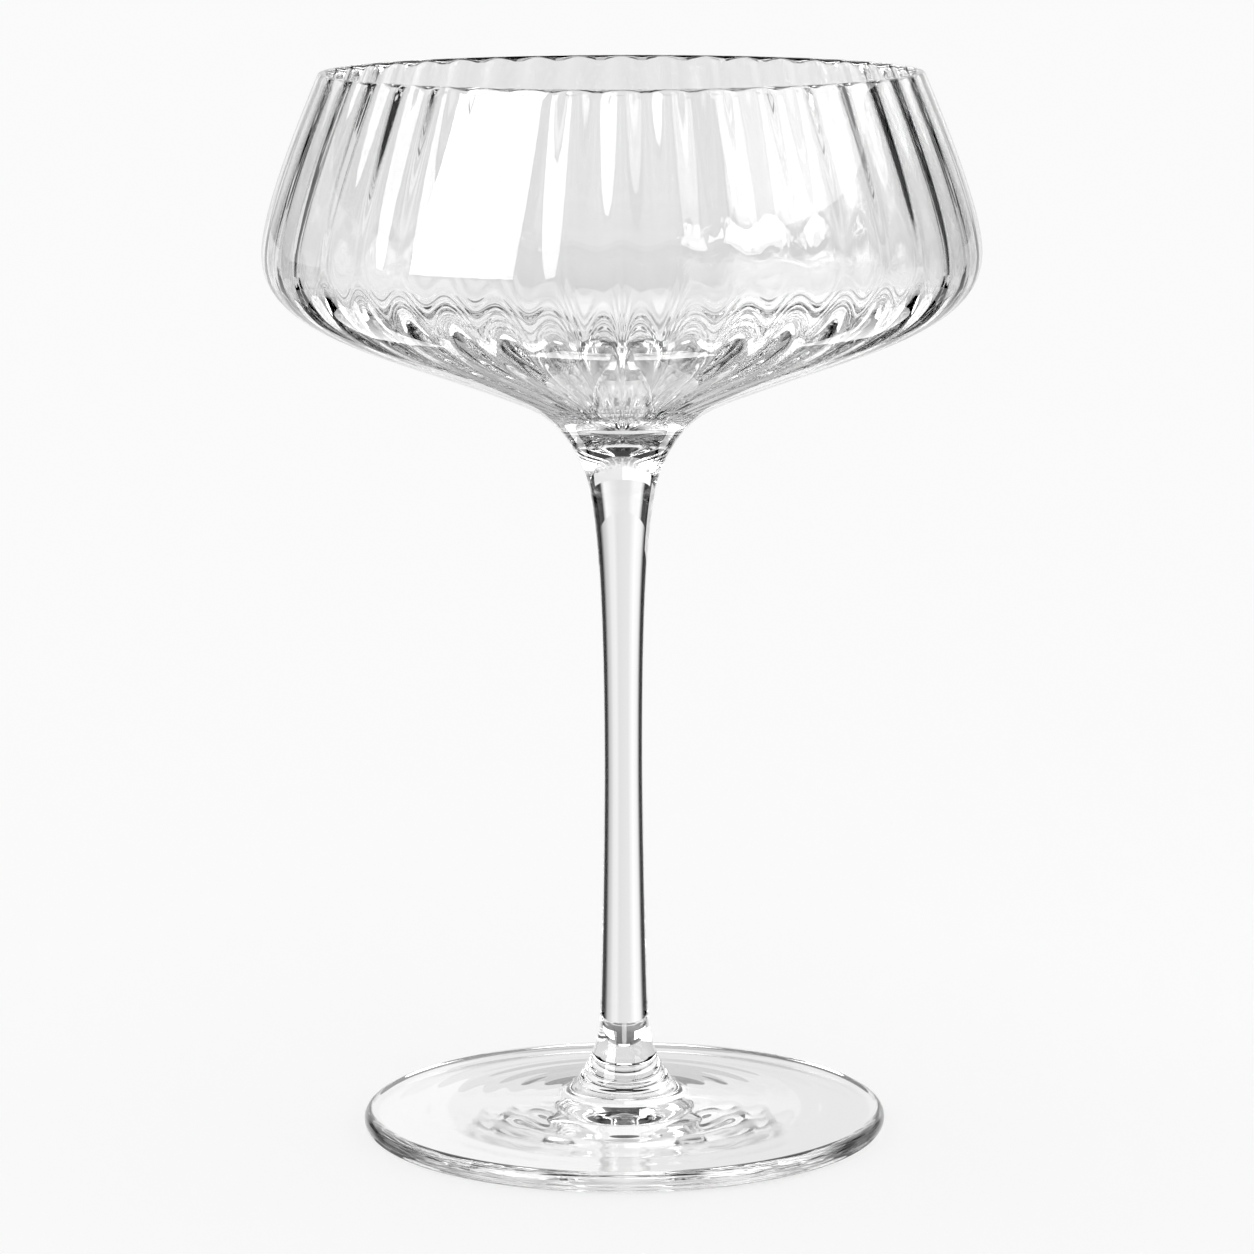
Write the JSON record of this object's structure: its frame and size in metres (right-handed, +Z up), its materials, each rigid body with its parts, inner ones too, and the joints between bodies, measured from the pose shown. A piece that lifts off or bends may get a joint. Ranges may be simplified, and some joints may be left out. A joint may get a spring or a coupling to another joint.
{
  "type": "coupe glass",
  "caption": "Stemmed coupe glass: wide blown bowl, smooth outside with fine upright ribs inside, slim drawn stem and round foot, all in clear glass.",
  "frame": {"origin": "centre of the plane that the foot rests on", "axes": "+Z up along the glass's axis, from the foot to the rim; X and Y level, with a rib of the bowl on +X and one on -X"},
  "size_m": [0.1102, 0.1102, 0.1652],
  "materials": {
    "clear_glass": "fire-polished, colourless"
  },
  "bodies": {
    "root": {"bowl": "clear_glass", "stem": "clear_glass", "foot": "clear_glass"}
  },
  "joints": []
}
